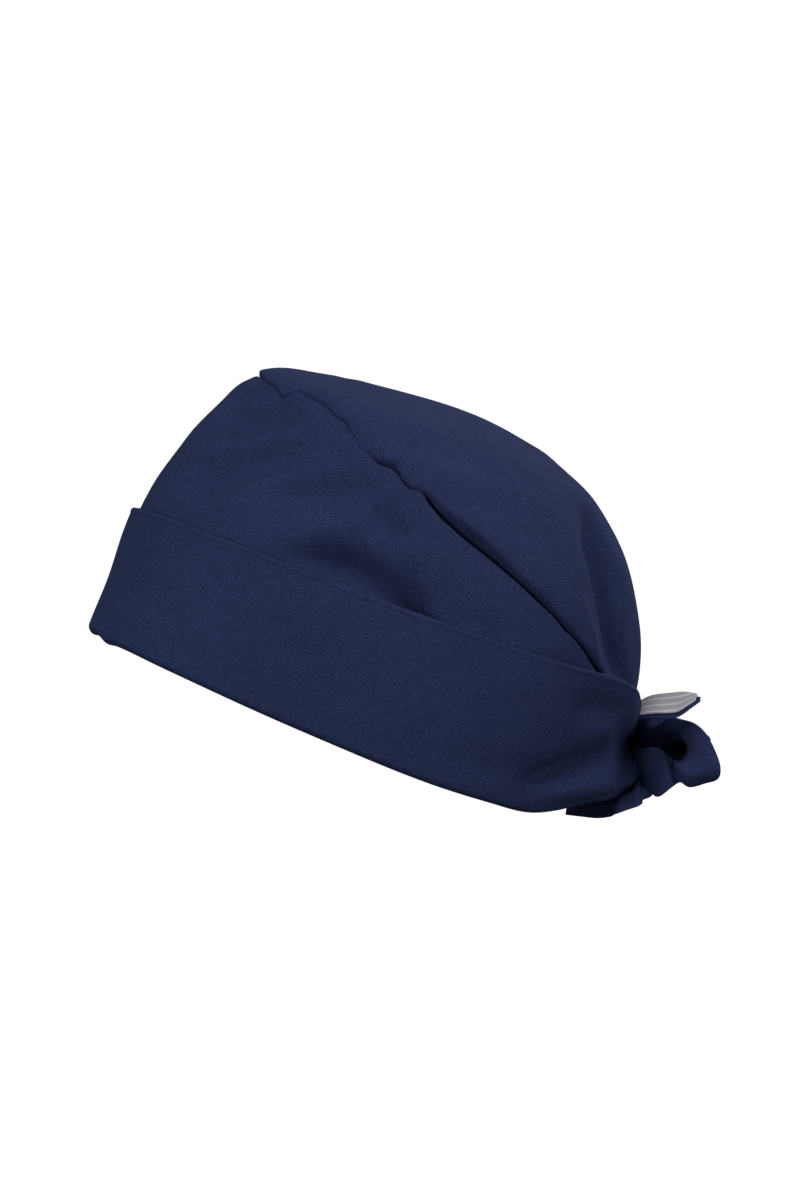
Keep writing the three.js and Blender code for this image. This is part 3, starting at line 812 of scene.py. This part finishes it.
def knot_points(sizes, columns=72, rows=40):
    """The knot's surface: a barrel about an upright axis, with slanting folds of wrapped cloth.

    The radius is the profile's, plus two sines round the axis that shift with the height.
    """
    turn = np.linspace(0, 2 * np.pi, columns, endpoint=False)[:, None]
    heights = KNOT_PROFILE["height"]
    height = np.linspace(heights[0], heights[-1], rows)[None, :]
    radius = smooth(heights, KNOT_PROFILE["radius"], height, False, False)
    ends = np.sqrt(np.clip(1 - (np.abs(height) / KNOT_END) ** KNOT_END_POWER, 0, 1))
    folds = sum(depth * np.sin(n * turn + slant * height) for depth, n, slant in KNOT_FOLDS)
    radius = (radius - KNOT_SLIM + folds) * ends
    x = radius * np.cos(turn) * KNOT_DEPTH
    y = radius * np.sin(turn) * KNOT_BREADTH
    point = np.stack([x, y, height + 0 * radius], axis=-1) + np.array(KNOT_PLACE)
    return upright(point, sizes.rim_tilt)


def tie_points(rows, sizes, columns, across):
    """A tie's middle surface: at each row a quadratic curve from edge a to edge b.

    The curve's control point is a share of the way from the middle of the two edges to the corner
    that has b's place and a's nearness, so that a share of 1 turns in like the mouth of a bell.
    """
    at = np.linspace(0, len(rows["ax"]) - 1, columns)
    edge_a, edge_b = (
        np.stack([by_row(rows, edge + axis, at) for axis in "xyz"], axis=-1)[:, None]
        for edge in "ab"
    )
    corner = np.stack([edge_b[..., 0], edge_a[..., 1], edge_b[..., 2]], axis=-1)
    bell = by_row(rows, "bell", at)[:, None, None] if "bell" in rows else 0.0
    control = blend((edge_a + edge_b) / 2, corner, bell)
    share = np.linspace(0, 1, across)[None, :, None]
    point = blend(blend(edge_a, control, share), blend(control, edge_b, share), share)
    if "curl" in rows:
        point[..., 1] += by_row(rows, "curl", at)[:, None] * (1 - share[..., 0]) ** CURL_POWER
    return point + upright(np.array(KNOT_PLACE), sizes.rim_tilt)


def label_points(sizes, columns=60, across=36):
    """The label's middle surface: a patch of the upper tie end, lifted off it along its normal."""
    tie = tie_points(TIE_END_UPPER, sizes, columns=201, across=101)
    out = unit(np.cross(np.gradient(tie, axis=0), np.gradient(tie, axis=1)))
    along = np.linspace(*LABEL_ALONG, columns)
    aside = np.linspace(*LABEL_ACROSS, across)
    last_along, last_aside = np.array(tie.shape[:2]) - 1
    pick = np.ix_(np.rint(along * last_along).astype(int), np.rint(aside * last_aside).astype(int))
    return tie[pick] + LABEL_LIFT * out[pick]


class Shader:
    """Nodes of a material or of the surround, added one at a time and linked by their sockets."""

    def __init__(self, owner):
        owner.use_nodes = True
        self.owner = owner
        self.tree = owner.node_tree
        nodes = self.tree.nodes
        self.surface = nodes.get("Principled BSDF") or nodes["Background"]

    def add(self, kind, inputs=None, **settings):
        """Adds a node, sets its settings, and sets or links its inputs."""
        node = self.tree.nodes.new(kind)
        for key, value in settings.items():
            setattr(node, key, value)
        self.feed(node, inputs or {})
        return node

    def feed(self, node, inputs):
        """Sets a node's inputs, by name or number, or links them to other nodes' sockets."""
        for key, value in inputs.items():
            if isinstance(value, bpy.types.NodeSocket):
                self.tree.links.new(value, node.inputs[key])
            else:
                node.inputs[key].default_value = value

    def math(self, operation, a, b=0.0, c=0.0):
        """A Math node's result."""
        inputs = {0: a, 1: b, 2: c}
        return self.add("ShaderNodeMath", inputs, operation=operation).outputs[0]

    def madd(self, a, b, c):
        """a times b, plus c."""
        return self.math("MULTIPLY_ADD", a, b, c)

    def mix(self, share, a, b):
        """A mix of two colours."""
        inputs = {0: share, 6: a, 7: b}
        return self.add("ShaderNodeMix", inputs, data_type="RGBA").outputs[2]

    def ramp(self, value, low, high, least=0.0, most=1.0):
        """The least below low and the most above high, with a smooth rise between."""
        inputs = {0: value, 1: low, 2: high, 3: least, 4: most}
        return self.add("ShaderNodeMapRange", inputs, interpolation_type="SMOOTHSTEP").outputs[0]

    def sine(self, along, pitch, phase=0.0):
        """A sine along a direction, with one wave to the pitch."""
        return self.math("SINE", self.madd(along, 2 * math.pi / pitch, phase))

    def weave(self, cloth, pitch):
        """The height of a plain weave, 0 to 1: warp and weft threads that pass over in turn."""
        parts = self.add("ShaderNodeSeparateXYZ", {0: cloth})
        warp = self.sine(parts.outputs[0], 2 * pitch)
        weft = self.sine(parts.outputs[1], 2 * pitch)
        over = self.madd(self.math("MULTIPLY", warp, weft), 0.25, 0.25)
        threads = self.math("ADD", self.math("ABSOLUTE", warp), self.math("ABSOLUTE", weft))
        return self.madd(threads, 0.25, over)

    def noise(self, at, scale, detail):
        """Noise of a scale in cells to the metre."""
        inputs = {"Vector": at, "Scale": scale, "Detail": detail}
        return self.add("ShaderNodeTexNoise", inputs).outputs[0]

    def yarn(self, cloth, scale):
        """Streaks along threads of one direction: noise with cells to the metre on each axis."""
        at = self.add("ShaderNodeMapping", {"Vector": cloth, "Scale": scale}).outputs[0]
        return self.noise(at, 1.0, 2.0)

    def lint(self, at, scale):
        """1 on a few small specks, one at most in each cell, and 0 elsewhere."""
        speck = self.add("ShaderNodeTexVoronoi", {"Vector": at, "Scale": scale})
        choice = self.add("ShaderNodeSeparateColor", {0: speck.outputs["Color"]}).outputs[0]
        near = self.math("SUBTRACT", 1.0, self.ramp(speck.outputs["Distance"], 0.02, 0.06))
        return self.math("MULTIPLY", near, self.ramp(choice, 0.78, 0.95))


def rgba(rgb):
    """A colour with full alpha."""
    return (*rgb, 1.0)


def navy_cloth(sizes, colours):
    """Matte navy plain weave: threads, uneven yarns, mottled dye and a little lint."""
    made = bpy.data.materials.get("navy_weave")
    if made:
        return made
    shader = Shader(bpy.data.materials.new("navy_weave"))
    cloth = shader.add("ShaderNodeUVMap", uv_map="Cloth").outputs[0]
    solid = shader.add("ShaderNodeTexCoord").outputs["Object"]
    weave = shader.weave(cloth, sizes.thread)
    weft = shader.yarn(cloth, (150, 1500, 1))
    warp = shader.yarn(cloth, (1500, 150, 1))
    fuzz = shader.noise(solid, 2100.0, 2.0)
    mottle = shader.noise(solid, 160.0, 3.0)
    cloud = shader.noise(solid, 24.0, 3.0)
    yarns = shader.math("ADD", shader.ramp(weft, 0.3, 0.7), shader.ramp(warp, 0.3, 0.7))
    fluff = shader.ramp(fuzz, 0.3, 0.7)
    share = -0.34
    for part, weight in (weave, 0.75), (yarns, 0.14), (fluff, 0.5), (mottle, 0.1), (cloud, 0.25):
        share = shader.madd(part, weight, share)
    tint = shader.mix(share, rgba(colours.navy), rgba(colours.navy_light))
    specks = shader.math("MULTIPLY", shader.lint(solid, 110.0), 0.5)
    tint = shader.mix(specks, tint, rgba(colours.lint))
    height = shader.madd(fuzz, 0.4, shader.madd(yarns, 0.2, weave))
    bump = shader.add("ShaderNodeBump", {"Height": height, "Strength": 0.5, "Distance": 0.00015})
    look = {
        "Base Color": tint,
        "Normal": bump.outputs[0],
        "Roughness": 0.88,
        "Specular IOR Level": 0.06,
        "Specular Tint": (0.5, 0.6, 1.0, 1.0),
        "Sheen Weight": 0.05,
        "Sheen Roughness": 0.45,
        "Sheen Tint": (0.45, 0.55, 1.0, 1.0),
    }
    shader.feed(shader.surface, look)
    return shader.owner


def label_weave(colours):
    """Silver-grey satin weave with plain pale stripes along the label and fine ribs across it."""
    shader = Shader(bpy.data.materials.new("label_satin"))
    cloth = shader.add("ShaderNodeUVMap", uv_map="Cloth").outputs[0]
    solid = shader.add("ShaderNodeTexCoord").outputs["Object"]
    parts = shader.add("ShaderNodeSeparateXYZ", {0: cloth})
    rib = shader.sine(parts.outputs[0], LABEL_RIB)
    stripe = shader.ramp(shader.sine(parts.outputs[1], LABEL_STRIPE, 0.6), 0.55, 0.7)
    fuzz = shader.noise(solid, 1200.0, 3.0)
    share = shader.madd(fuzz, 0.35, shader.math("MULTIPLY", stripe, 0.75))
    share = shader.madd(rib, 0.06, share)
    tint = shader.mix(share, rgba(colours.label_grey), rgba(colours.label_pale))
    height = shader.madd(rib, 0.4, shader.madd(stripe, 0.8, fuzz))
    bump = shader.add("ShaderNodeBump", {"Height": height, "Strength": 0.35, "Distance": 0.00012})
    look = {"Base Color": tint, "Normal": bump.outputs[0], "Roughness": 0.55, "Sheen Weight": 0.2}
    shader.feed(shader.surface, look)
    return shader.owner


class ClothOperator:
    """Runs a piece's build with the cap's sizes and its navy cloth."""

    def execute(self, context):
        sizes = context.scene.scrub_cap_sizes
        self.build(sizes, navy_cloth(sizes, context.scene.scrub_cap_colours))
        return {"FINISHED"}


class SCRUBCAP_OT_crown(ClothOperator, Operator):
    """Builds the crown, the full top and back of the cap."""

    bl_idname = "scrub_cap.crown"
    bl_label = "Crown"

    def build(self, sizes, material):
        points, uv = crown_points(sizes)
        crown = cloth_wall("crown", points, uv, sizes.cloth, material, ring=True, ridge=True)


class SCRUBCAP_OT_side_panel(ClothOperator, Operator):
    """Builds the side panel, round the front and both sides."""

    bl_idname = "scrub_cap.side_panel"
    bl_label = "Side panel"

    def build(self, sizes, material):
        points, uv = side_panel_points(sizes)
        panel = cloth_wall("side_panel", points, uv, sizes.cloth, material)


class SCRUBCAP_OT_cuff(ClothOperator, Operator):
    """Builds the turned-up cuff with its fold at the rim."""

    bl_idname = "scrub_cap.cuff"
    bl_label = "Cuff"

    def build(self, sizes, material):
        points, uv = cuff_points(sizes)
        cuff = cloth_wall("cuff", points, uv, sizes.cuff_wall, material)


class SCRUBCAP_OT_knot(ClothOperator, Operator):
    """Builds the knot at the nape."""

    bl_idname = "scrub_cap.knot"
    bl_label = "Knot"

    def build(self, sizes, material):
        points = knot_points(sizes)
        columns, rows = points.shape[:2]
        number = np.arange(columns + 1) % columns * rows + np.arange(rows)[:, None]
        around = np.linspace(0, KNOT_CLOTH[0], columns + 1)[None, :]
        up = np.linspace(0, KNOT_CLOTH[1], rows)[:, None]
        cloth = np.stack(np.broadcast_arrays(around, up), axis=-1)
        knot = mesh_object("knot_cloth", points * MM, cells(number), cells(cloth), material)
        close_poles(knot)
        place(knot, "knot")


def close_poles(piece):
    """Fills the two open ends of a turned surface."""
    shape = bmesh.new()
    shape.from_mesh(piece.data)
    bmesh.ops.holes_fill(shape, edges=[edge for edge in shape.edges if edge.is_boundary], sides=0)
    bmesh.ops.recalc_face_normals(shape, faces=shape.faces)
    shape.to_mesh(piece.data)
    shape.free()
    piece.data.shade_smooth()


class SCRUBCAP_OT_bow_loops(ClothOperator, Operator):
    """Builds the two loops of the bow, which flare to the left and to the right."""

    bl_idname = "scrub_cap.bow_loops"
    bl_label = "Bow loops"

    def build(self, sizes, material):
        for node, rows, area in (
            ("bow_loop_left", BOW_LOOP_LEFT, 0.0014),
            ("bow_loop_right", BOW_LOOP_RIGHT, 0.0011),
        ):
            points = tie_points(rows, sizes, columns=260, across=44)
            loop = cloth_wall(node, points, strip_uv(points), sizes.cloth, material)


class SCRUBCAP_OT_tie_ends(ClothOperator, Operator):
    """Builds the tie end above the bow and the one below it."""

    bl_idname = "scrub_cap.tie_ends"
    bl_label = "Tie ends"

    def build(self, sizes, material):
        for node, rows, columns, flat in (
            ("tie_end_upper", TIE_END_UPPER, 90, (0.025, 0.019)),
            ("tie_end_lower", TIE_END_LOWER, 150, (0.041, 0.018)),
        ):
            points = tie_points(rows, sizes, columns, across=40)
            end = cloth_wall(node, points, strip_uv(points), sizes.cloth, material)


class SCRUBCAP_OT_label(Operator):
    """Builds the woven label on the upper tie end."""

    bl_idname = "scrub_cap.label"
    bl_label = "Label"

    def execute(self, context):
        sizes = context.scene.scrub_cap_sizes
        points = label_points(sizes)
        material = label_weave(context.scene.scrub_cap_colours)
        uv = strip_uv(points)
        label = cloth_wall("label", points, uv, LABEL_WALL, material)
        return {"FINISHED"}


def area_light(name, place_at, power):
    """A square soft light at a place, turned to face the cap."""
    light = bpy.data.lights.new(name, "AREA")
    light.shape = "SQUARE"
    light.size = LIGHT_SIZE
    light.energy = power
    made = bpy.data.objects.new(name, light)
    made.location = place_at
    made.rotation_mode = "QUATERNION"
    direction = Vector(np.array(LIGHT_AIM) - place_at)
    made.rotation_quaternion = direction.to_track_quat("-Z", "Y")
    bpy.context.scene.collection.objects.link(made)


class SCRUBCAP_OT_stage(Operator):
    """Sets out the floor, the light and the camera."""

    bl_idname = "scrub_cap.stage"
    bl_label = "Stage"

    def execute(self, context):
        scene = context.scene
        stage = scene.scrub_cap_stage
        self.floor(stage, scene.scrub_cap_colours)
        scene.world = self.surround(stage)
        for name, (place_at, power) in LIGHTS.items():
            area_light(name, place_at, power)
        camera = bpy.data.cameras.new("camera")
        camera.sensor_width = SENSOR
        camera.lens = SENSOR * stage.camera_distance / stage.view_height
        camera.clip_end = CLIP_END
        made = bpy.data.objects.new("camera", camera)
        made.location = (CAMERA_ACROSS, -stage.camera_distance, CAMERA_UP)
        made.rotation_euler = (math.radians(90), 0, 0)
        scene.collection.objects.link(made)
        scene.camera = made
        scene.view_settings.view_transform = "Standard"
        return {"FINISHED"}

    def surround(self, stage):
        """A white surround, full overhead and dark underneath."""
        shader = Shader(bpy.data.worlds.new("surround"))
        direction = shader.add("ShaderNodeTexCoord").outputs["Generated"]
        up = shader.add("ShaderNodeSeparateXYZ", {0: direction}).outputs[2]
        strength = shader.ramp(up, *SKY_FADE, SKY_BELOW * stage.sky, stage.sky)
        shader.feed(shader.surface, {"Color": WHITE, "Strength": strength})
        return shader.owner

    def floor(self, stage, colours):
        """A round floor that turns up into a wall, as a quarter circle far from the cap."""
        turn = np.linspace(0, 2 * np.pi, stage.floor_segments + 1)[:, None]
        bend = np.linspace(0, np.pi / 2, num=33)[None, :]
        reach = np.concatenate([[[0.0]], FLOOR_FLAT + FLOOR_BEND * np.sin(bend)], axis=1)
        height = np.concatenate([[[0.0]], FLOOR_BEND * (1 - np.cos(bend))], axis=1)
        height = height - stage.floor_drop + 0 * turn
        point = np.stack([reach * np.cos(turn), reach * np.sin(turn), height], axis=-1)
        shader = Shader(bpy.data.materials.new("pale_floor"))
        shader.feed(shader.surface, {"Base Color": rgba(colours.floor), "Roughness": 0.9})
        shader.feed(shader.surface, {"Emission Color": WHITE, "Emission Strength": 1.0})
        quads = cells(np.arange(point[..., 0].size).reshape(point.shape[:2]).T)
        floor = mesh_object("floor", point, quads, np.zeros((quads.size, 2)), shader.owner)
        floor.visible_diffuse = False
        floor.visible_glossy = False
        floor.visible_shadow = False


class SCRUBCAP_PT_panel(Panel):
    """Lists the cap's sizes, colours and pieces."""

    bl_idname = "SCRUBCAP_PT_panel"
    bl_label = "Scrub cap"
    bl_space_type = "VIEW_3D"
    bl_region_type = "UI"
    bl_category = "Scrub cap"

    def draw(self, context):
        for group in GROUPS:
            box = self.layout.box()
            values = getattr(context.scene, GROUPS[group])
            for name in group.__annotations__:
                box.prop(values, name)
        for operator in OPERATORS:
            self.layout.operator(operator.bl_idname)


GROUPS = {
    ScrubCapSizes: "scrub_cap_sizes",
    ScrubCapColours: "scrub_cap_colours",
    ScrubCapStage: "scrub_cap_stage",
}
OPERATORS = (
    SCRUBCAP_OT_stage,
    SCRUBCAP_OT_crown,
    SCRUBCAP_OT_side_panel,
    SCRUBCAP_OT_cuff,
    SCRUBCAP_OT_knot,
    SCRUBCAP_OT_bow_loops,
    SCRUBCAP_OT_tie_ends,
    SCRUBCAP_OT_label,
)


def register():
    """Registers the groups, operators and panel, and hangs the groups on the scene."""
    for made in (*GROUPS, *OPERATORS, SCRUBCAP_PT_panel):
        bpy.utils.register_class(made)
    for group, name in GROUPS.items():
        setattr(bpy.types.Scene, name, PointerProperty(type=group))


def unregister():
    """Takes back what register does."""
    for name in GROUPS.values():
        delattr(bpy.types.Scene, name)
    for made in (SCRUBCAP_PT_panel, *reversed(OPERATORS), *reversed(GROUPS)):
        bpy.utils.unregister_class(made)


def main():
    """Builds the cap and its stage."""
    register()
    for operator in OPERATORS:
        getattr(bpy.ops.scrub_cap, operator.bl_idname.partition(".")[2])()


if __name__ == "__main__":
    main()
